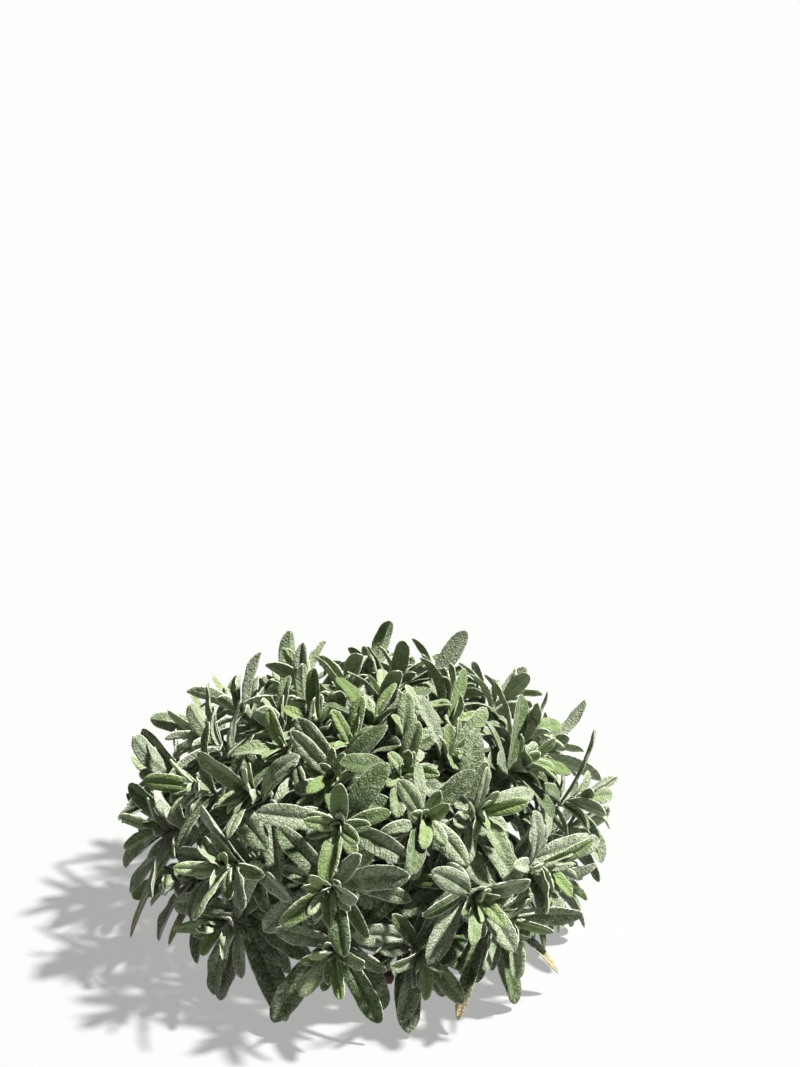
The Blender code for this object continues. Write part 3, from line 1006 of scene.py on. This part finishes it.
def woolly_leaf_material(colour):
    """Green under a speckled silver felt, with pale margins that are partly hair colour and partly painted
    sheen, sunk veins and withered tips.
    """
    material, n, shader = new_material("woolly_leaf_felt", FELT_FINISH)
    coords = n.add("ShaderNodeTexCoord").outputs["Object"]
    rim = n.attribute("rim")
    tone = n.attribute("tone")
    age = n.attribute("age")
    dry = n.attribute("dry")
    under = n.attribute("under")
    place = n.add("ShaderNodeSeparateXYZ", {"Vector": n.attribute("place", "Vector")})
    across = n.math("ABSOLUTE", place.outputs["X"])

    speck = n.noise(coords, SPECK_SCALE, 4.0, 0.72)
    patch = n.noise(coords, PATCH_SCALE, 2.0, 0.5)
    pebble = n.add("ShaderNodeTexVoronoi", {"Vector": coords, "Scale": PEBBLE_SCALE, "Randomness": 1.0})
    dots = n.between(pebble.outputs["Distance"], 0.62, 0.18)

    slant = n.math("MULTIPLY_ADD", across, VEIN_SLANT, n.math("MULTIPLY", place.outputs["Y"], VEIN_PACE))
    bent = n.math("MULTIPLY_ADD", patch, VEIN_BEND, slant)
    vein = n.between(n.math("SINE", bent), 0.45, 1.0)
    off_rib = n.between(across, 0.06, 0.22)
    vein = n.math("MULTIPLY", vein, off_rib)
    midrib = n.between(across, 0.16, 0.02)

    grain = n.between(age, 0.10, 0.60, 0.6, 1.7)
    cover = n.math("MULTIPLY", n.math("SUBTRACT", speck, SPECK_MIDDLE), grain)
    cover = n.math("MULTIPLY_ADD", patch, PATCH_COVER, n.math("ADD", cover, PATCH_BALANCE))
    cover = n.math("MULTIPLY_ADD", tone, TONE_COVER, n.math("ADD", cover, TONE_BALANCE))
    older_dots = n.math("MULTIPLY", dots, n.math("ADD", age, 0.15))
    cover = n.math("MULTIPLY_ADD", older_dots, PEBBLE_COVER, cover)
    cover = n.math("MULTIPLY_ADD", under, UNDERSIDE_COVER, cover)
    cover = n.math("MULTIPLY_ADD", vein, VEIN_COVER, cover)
    cover = n.math("MULTIPLY_ADD", midrib, MIDRIB_COVER, cover, clamp=True)

    green = n.mix(n.between(age, 0.55, 0.0), four(colour.leaf_green), four(colour.young_green))
    felted = n.mix(cover, green, four(colour.felt_silver))
    # Painted sheen: margins and tips turn pale, partly the hairs' own colour, partly the halo of light on
    # the edge hairs
    pale = n.math("MULTIPLY", n.between(rim, 0.12, 0.80), n.between(age, 0.2, 0.9, 0.85, 0.45))
    hair_and_sheen_margined = n.mix(pale, felted, four(colour.margin_hair_and_painted_sheen))
    dryness = n.math("MULTIPLY_ADD", patch, 0.5, n.math("ADD", dry, -0.25))
    withered = n.between(dryness, 0.35, 0.8)
    final = n.mix(withered, hair_and_sheen_margined, four(colour.dry_brown))
    material.node_tree.links.new(final, shader.inputs["Base Color"])

    relief = n.math("ADD", speck, n.math("MULTIPLY", vein, VEIN_RELIEF))
    relief = n.math("MULTIPLY_ADD", dots, PEBBLE_RELIEF, relief)
    bump = n.add("ShaderNodeBump", {"Strength": 0.9, "Distance": RELIEF_HEIGHT, "Height": relief})
    material.node_tree.links.new(bump.outputs["Normal"], shader.inputs["Normal"])
    return material


def crown_material(colour):
    """Rough dry bark, paler on its ridges."""
    material, n, shader = new_material("crown_bark_rough", BARK_FINISH)
    coords = n.add("ShaderNodeTexCoord").outputs["Object"]
    grain = n.noise(coords, BARK_GRAIN_SCALE, 5.0, 0.7)
    patch = n.noise(coords, BARK_PATCH_SCALE, 2.0, 0.5)
    pale = tuple(min(1.0, 2.6 * part + 0.03) for part in colour.bark_brown)
    dark = tuple(0.45 * part for part in colour.bark_brown)
    mixed = n.mix(n.between(grain, 0.35, 0.68), four(dark), four(pale))
    final = n.mix(n.between(patch, 0.35, 0.7), mixed, four(colour.bark_brown))
    material.node_tree.links.new(final, shader.inputs["Base Color"])
    bump = n.add("ShaderNodeBump", {"Strength": 0.8, "Distance": RELIEF_HEIGHT, "Height": grain})
    material.node_tree.links.new(bump.outputs["Normal"], shader.inputs["Normal"])
    return material


def wool_tree():
    """Sweeps a square stem along the loose path, then covers margins and stem with short hairs."""
    tree = bpy.data.node_groups.new("stem_and_wool", "GeometryNodeTree")
    face = tree.interface
    face.new_socket("Geometry", in_out="INPUT", socket_type="NodeSocketGeometry")
    for name in ("Hair Length", "Hair Width", "Hair Density", "Stem Width"):
        face.new_socket(name, in_out="INPUT", socket_type="NodeSocketFloat")
    face.new_socket("Seed", in_out="INPUT", socket_type="NodeSocketInt")
    face.new_socket("Material", in_out="INPUT", socket_type="NodeSocketMaterial")
    face.new_socket("Geometry", in_out="OUTPUT", socket_type="NodeSocketGeometry")
    n = Nodes(tree)
    given = n.add("NodeGroupInput").outputs

    def named(name, kind="FLOAT"):
        return n.add("GeometryNodeInputNamedAttribute", {"Name": name}, data_type=kind).outputs["Attribute"]

    def stored(geometry, name, value):
        inputs = {"Geometry": geometry, "Name": name, "Value": value}
        return n.add("GeometryNodeStoreNamedAttribute", inputs, data_type="FLOAT", domain="POINT").outputs[0]

    split = n.add(
        "GeometryNodeSeparateGeometry",
        {"Geometry": given["Geometry"], "Selection": named("path", "BOOLEAN")},
        domain="EDGE",
    )
    line = n.add("GeometryNodeMeshToCurve", {"Mesh": split.outputs["Selection"]}).outputs["Curve"]
    along = n.add("GeometryNodeSplineParameter").outputs["Factor"]
    taper = n.add(
        "ShaderNodeMapRange",
        {"Value": along, "From Min": 0.0, "From Max": 1.0, "To Min": 1.0, "To Max": STEM_TIP_SHARE},
    ).outputs["Result"]
    quad = n.add(
        "GeometryNodeCurvePrimitiveQuadrilateral",
        {"Width": given["Stem Width"], "Height": given["Stem Width"]},
    ).outputs["Curve"]
    corner = n.math("MULTIPLY", given["Stem Width"], STEM_CORNER_SHARE)
    profile = n.add("GeometryNodeFilletCurve", {"Curve": quad, "Count": 1, "Radius": corner}, mode="POLY")
    swept = n.add(
        "GeometryNodeCurveToMesh",
        {"Curve": line, "Profile Curve": profile.outputs["Curve"], "Scale": taper, "Fill Caps": True},
    ).outputs["Mesh"]
    stem = swept
    for name, value in STEM_FELT.items():
        stem = stored(stem, name, value)
    body = n.add("GeometryNodeJoinGeometry")
    tree.links.new(split.outputs["Inverted"], body.inputs["Geometry"])
    tree.links.new(stem, body.inputs["Geometry"])
    body = n.add("GeometryNodeSetShadeSmooth", {"Geometry": body.outputs["Geometry"]}).outputs["Geometry"]

    crowding = n.math("MULTIPLY", named("rim"), given["Hair Density"])
    spread = n.add(
        "GeometryNodeDistributePointsOnFaces",
        {"Mesh": body, "Density": crowding, "Seed": given["Seed"]},
    )
    lean = n.add(
        "FunctionNodeRandomValue",
        {0: tuple(-most for most in HAIR_LEAN), 1: HAIR_LEAN, "Seed": given["Seed"]},
        data_type="FLOAT_VECTOR",
    ).outputs[0]
    turned = n.add(
        "FunctionNodeRotateRotation",
        {"Rotation": spread.outputs["Rotation"], "Rotate By": lean},
        rotation_space="LOCAL",
    ).outputs["Rotation"]
    size = n.add(
        "FunctionNodeRandomValue",
        {2: SHORTEST_HAIR_SHARE, 3: 1.0, "Seed": given["Seed"]},
        data_type="FLOAT",
    ).outputs[1]
    hair = n.add(
        "GeometryNodeMeshCone",
        {
            "Vertices": 3,
            "Radius Top": 0.0,
            "Radius Bottom": given["Hair Width"],
            "Depth": given["Hair Length"],
        },
        fill_type="NONE",
    ).outputs["Mesh"]
    hairs = n.add(
        "GeometryNodeInstanceOnPoints",
        {"Points": spread.outputs["Points"], "Instance": hair, "Rotation": turned, "Scale": size},
    ).outputs["Instances"]
    whole = n.add("GeometryNodeJoinGeometry")
    tree.links.new(body, whole.inputs["Geometry"])
    tree.links.new(hairs, whole.inputs["Geometry"])
    real = n.add("GeometryNodeRealizeInstances", {"Geometry": whole.outputs["Geometry"]}).outputs["Geometry"]
    dressed = n.add("GeometryNodeSetMaterial", {"Geometry": real, "Material": given["Material"]})
    result = n.add("NodeGroupOutput")
    tree.links.new(dressed.outputs["Geometry"], result.inputs["Geometry"])
    return tree


def placed(context, name, data):
    """A new object with its mesh, light or camera, in the scene."""
    obj = bpy.data.objects.new(name, data)
    context.scene.collection.objects.link(obj)
    return obj


def grown(obj, tree, values):
    """The object with the tree's result applied as its plain mesh."""
    modifier = obj.modifiers.new("grow", "NODES")
    modifier.node_group = tree
    for item in tree.interface.items_tree:
        if item.in_out == "INPUT" and item.name in values:
            modifier[item.identifier] = values[item.name]
    graph = bpy.context.evaluated_depsgraph_get()
    mesh = bpy.data.meshes.new_from_object(obj.evaluated_get(graph))
    obj.modifiers.clear()
    obj.data = mesh
    return obj


def settle(obj, node):
    """The finished piece stands for its solid and rides with the plant."""
    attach(obj, "root")
    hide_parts(node)


class LAMBSEAR_OT_leafy_stems(bpy.types.Operator):
    """Build every leafy stem with its felted leaves, bud and hairs"""

    bl_idname = "lambsear.leafy_stems"
    bl_label = "Leafy Stems"

    def execute(self, context):
        settings = context.scene.lambs_ear
        leaf_settings = settings.leaf
        rng = random.Random(SEED)
        stems = plan_stems(rng)
        room, phases = plan_leaves(stems, rng)
        planned = plan_inner_leaves(stems, room, phases, rng)
        buds = plan_buds(stems, phases, rng)
        material = woolly_leaf_material(settings.colour)
        tree = wool_tree()
        for number, stem in enumerate(stems):
            parts = MeshParts()
            add_path(parts, stem)
            main = planned[number]
            full = (leaf_settings.thickness, leaf_settings.groove)
            groups = (
                (room.leaves[number][:main], MAIN_RINGS, FINE_SECTION, full),
                (room.leaves[number][main:], INNER_RINGS, PLAIN_SECTION, full),
                (buds[number], BUD_RINGS, PLAIN_SECTION, (BUD_THICKNESS, BUD_GROOVE)),
            )
            for leaves, rings, section, build in groups:
                for leaf in leaves:
                    add_blade(parts, leaf, rings, section, BladeForm(leaf, *build, rng))
            node = f"leafy_stem_{number:02d}"
            obj = placed(context, f"woolly_{node}", parts.to_mesh(f"woolly_{node}"))
            values = {
                "Hair Length": leaf_settings.hair_length,
                "Hair Width": leaf_settings.hair_width,
                "Hair Density": leaf_settings.hair_density,
                "Stem Width": leaf_settings.stem_width,
                "Seed": settings.hair_seed + number,
                "Material": material,
            }
            grown(obj, tree, values)
            settle(obj, node)
        return {"FINISHED"}


class LAMBSEAR_OT_crown(bpy.types.Operator):
    """Build the rough woody crown from the solid's form"""

    bl_idname = "lambsear.crown"
    bl_label = "Crown"

    def execute(self, context):
        settings = context.scene.lambs_ear
        bm = bmesh.new()
        bm.from_mesh(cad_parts["crown"].data)
        bmesh.ops.remove_doubles(bm, verts=bm.verts, dist=1e-6)
        mesh = bpy.data.meshes.new("rough_crown")
        bm.to_mesh(mesh)
        bm.free()
        crown = placed(context, "rough_crown", mesh)
        remesh = crown.modifiers.new("grain_size", "REMESH")
        remesh.mode = "VOXEL"
        remesh.voxel_size = CROWN_GRAIN_SIZE
        smooth = crown.modifiers.new("worn", "SMOOTH")
        smooth.factor = CROWN_WEAR
        smooth.iterations = CROWN_WEAR_ROUNDS
        graph = context.evaluated_depsgraph_get()
        mesh = bpy.data.meshes.new_from_object(crown.evaluated_get(graph))
        crown.modifiers.clear()
        crown.data = mesh
        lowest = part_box("crown")[0][2]
        places = np.empty(len(mesh.vertices) * 3, np.float32)
        mesh.vertices.foreach_get("co", places)
        outward = np.array([vertex.normal[:] for vertex in mesh.vertices])
        places = places.reshape(-1, 3)
        flat = places[:, 2] < lowest + CROWN_FOOT_HEIGHT
        radius = np.hypot(places[:, 0], places[:, 1])
        joint = np.sin(radius * 2.0 * math.pi / CROWN_JOINT_SPACING) ** CROWN_JOINT_SHARPNESS
        ridge = np.array([noise.noise(Vector(place) * CROWN_RIDGE_SCALE) for place in places.tolist()])
        rise = CROWN_RIDGE_HEIGHT * ridge + CROWN_JOINT_HEIGHT * (joint - 1.0)
        moved = places + outward * rise[:, None]
        moved[:, 2] = np.where(flat, lowest, np.maximum(lowest, moved[:, 2]))
        mesh.vertices.foreach_set("co", moved.astype(np.float32).ravel())
        mesh.update()
        mesh.materials.clear()
        mesh.materials.append(crown_material(settings.colour))
        mesh.polygons.foreach_set("use_smooth", np.ones(len(mesh.polygons), bool))
        settle(crown, "crown")
        return {"FINISHED"}


class LAMBSEAR_OT_stage(bpy.types.Operator):
    """Set the pale floor, the lights and the camera"""

    bl_idname = "lambsear.stage"
    bl_label = "Stage"

    def execute(self, context):
        settings = context.scene.lambs_ear
        add_floor(context, settings)
        add_lights(context, settings.stage)
        add_camera(context)
        return {"FINISHED"}


def add_floor(context, settings):
    bm = bmesh.new()
    bmesh.ops.create_grid(bm, x_segments=1, y_segments=1, size=settings.stage.floor_size * 0.5)
    mesh = bpy.data.meshes.new("pale_floor")
    bm.to_mesh(mesh)
    bm.free()
    finish = {
        "Base Color": four(settings.colour.floor_grey),
        "Roughness": 0.9,
        "Emission Color": FLOOR_GLOW_COLOUR,
        "Emission Strength": settings.stage.floor_glow,
    }
    mesh.materials.append(new_material("pale_floor", finish)[0])
    placed(context, "pale_floor", mesh)


def add_lights(context, stage):
    towards = Vector(
        (
            math.cos(stage.key_height) * math.cos(stage.key_turn),
            math.cos(stage.key_height) * math.sin(stage.key_turn),
            math.sin(stage.key_height),
        )
    )
    key = bpy.data.lights.new("key", "SUN")
    key.energy = stage.key_strength
    key.angle = stage.key_spread
    key.color = KEY_COLOUR
    lamp = placed(context, "key", key)
    lamp.rotation_euler = towards.to_track_quat("Z", "Y").to_euler()
    world = bpy.data.worlds.new("studio")
    world.use_nodes = True
    n = Nodes(world.node_tree)
    ray = n.add("ShaderNodeTexCoord").outputs["Generated"]
    rise = n.add("ShaderNodeSeparateXYZ", {"Vector": ray}).outputs["Z"]
    limit = math.sin(stage.horizon_height)
    strength = n.between(rise, limit * HORIZON_SHARPNESS, limit, 1.0, stage.fill_strength)
    sky = world.node_tree.nodes["Background"]
    sky.inputs["Color"].default_value = SKY_COLOUR
    world.node_tree.links.new(strength, sky.inputs["Strength"])
    context.scene.world = world
    context.scene.view_settings.view_transform = "Standard"


def add_camera(context):
    """The photograph's view: its height above the plant, and where the plant stands in the frame."""
    down = math.radians(VIEW_DOWN_DEGREES)
    pixel_mm = SENSOR_MM / PHOTO_HEIGHT
    distance = METRES_PER_PIXEL / pixel_mm * LENS_MM
    off_x = math.atan((AIM_PIXEL[0] - PHOTO_WIDTH * 0.5) * pixel_mm / LENS_MM)
    off_y = math.atan((AIM_PIXEL[1] - PHOTO_HEIGHT * 0.5) * pixel_mm / LENS_MM)
    lens = bpy.data.cameras.new("photo_view")
    lens.lens = LENS_MM
    lens.sensor_width = SENSOR_MM
    lens.clip_end = VIEW_CLIP_END
    camera = placed(context, "photo_view", lens)
    camera.location = AIM_POINT + Vector((0.0, -math.cos(down), math.sin(down))) * distance
    camera.rotation_euler = (math.pi / 2 - (down - off_y), 0.0, off_x)
    bpy.context.scene.camera = camera


class LAMBSEAR_PT_panel(bpy.types.Panel):
    """Lists the sizes, the colours and the build steps"""

    bl_idname = "LAMBSEAR_PT_panel"
    bl_label = "Lambs Ear Plant"
    bl_space_type = "VIEW_3D"
    bl_region_type = "UI"
    bl_category = "Lambs Ear"

    def draw(self, context):
        settings = context.scene.lambs_ear
        for group in (settings.leaf, settings.colour, settings.stage):
            box = self.layout.box()
            for name in group.__annotations__:
                box.prop(group, name)
        self.layout.prop(settings, "hair_seed")
        for operator in (LAMBSEAR_OT_leafy_stems, LAMBSEAR_OT_crown, LAMBSEAR_OT_stage):
            self.layout.operator(operator.bl_idname)


CLASSES = (
    LambsEarLeafSettings,
    LambsEarColourSettings,
    LambsEarStageSettings,
    LambsEarSettings,
    LAMBSEAR_OT_leafy_stems,
    LAMBSEAR_OT_crown,
    LAMBSEAR_OT_stage,
    LAMBSEAR_PT_panel,
)


def register():
    for cls in CLASSES:
        bpy.utils.register_class(cls)
    bpy.types.Scene.lambs_ear = PointerProperty(type=LambsEarSettings)


def unregister():
    del bpy.types.Scene.lambs_ear
    for cls in reversed(CLASSES):
        bpy.utils.unregister_class(cls)


def main():
    register()
    bpy.ops.lambsear.leafy_stems()
    bpy.ops.lambsear.crown()
    bpy.ops.lambsear.stage()
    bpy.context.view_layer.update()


if __name__ == "__main__":
    main()
